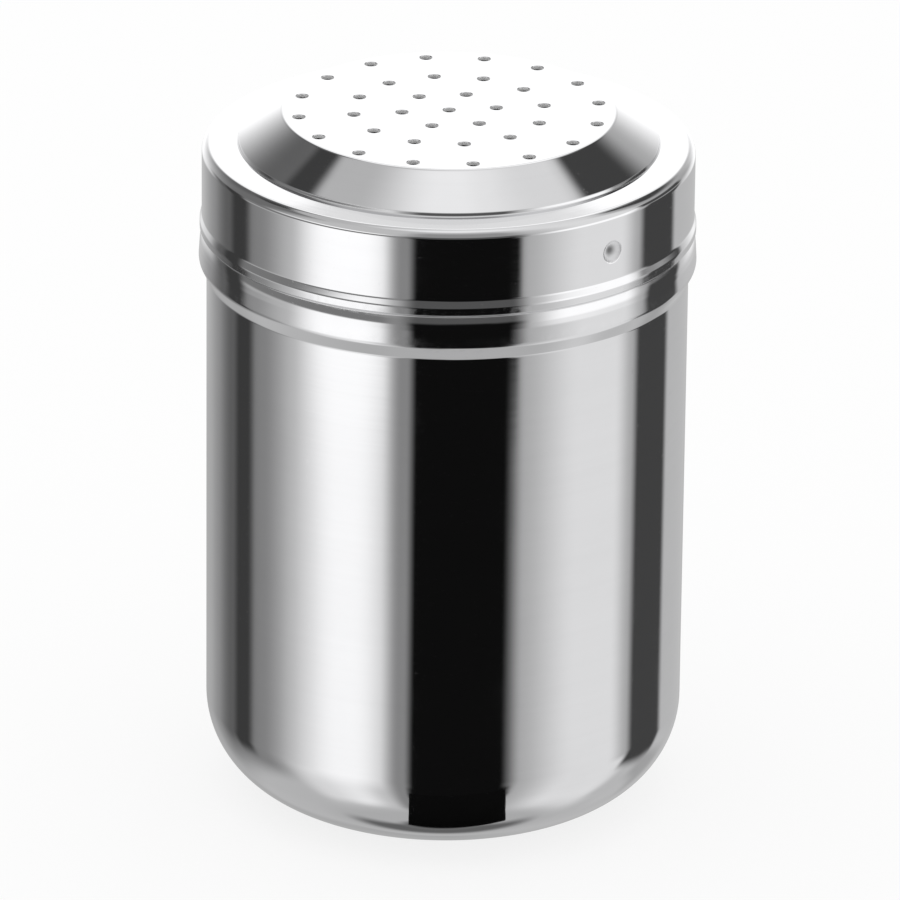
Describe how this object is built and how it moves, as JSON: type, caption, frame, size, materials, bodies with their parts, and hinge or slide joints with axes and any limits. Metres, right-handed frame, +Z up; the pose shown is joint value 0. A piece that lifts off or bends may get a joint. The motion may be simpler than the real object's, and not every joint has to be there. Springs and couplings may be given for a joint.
{
  "type": "spice shaker",
  "caption": "Polished steel shaker for spice or sugar: a straight cup with a rounded base and stop bead, and a perforated lift-off lid locked by pips.",
  "frame": {"origin": "centre of the base, on the surface that the cup stands on", "axes": "+Z up through the lid; +X through the first hole of each ring of holes"},
  "size_m": [0.0722, 0.0722, 0.105],
  "materials": {
    "cup_steel": "mirror-polished stainless steel",
    "lid_steel": "mirror-polished stainless steel"
  },
  "bodies": {
    "cup": {"cup": "cup_steel"},
    "lid": {"lid": "lid_steel"}
  },
  "joints": [
    {"name": "lid_lift", "type": "slide", "parent": "cup", "child": "lid", "axis": [0, 0, 1], "range_m": [0, 0.06]}
  ]
}
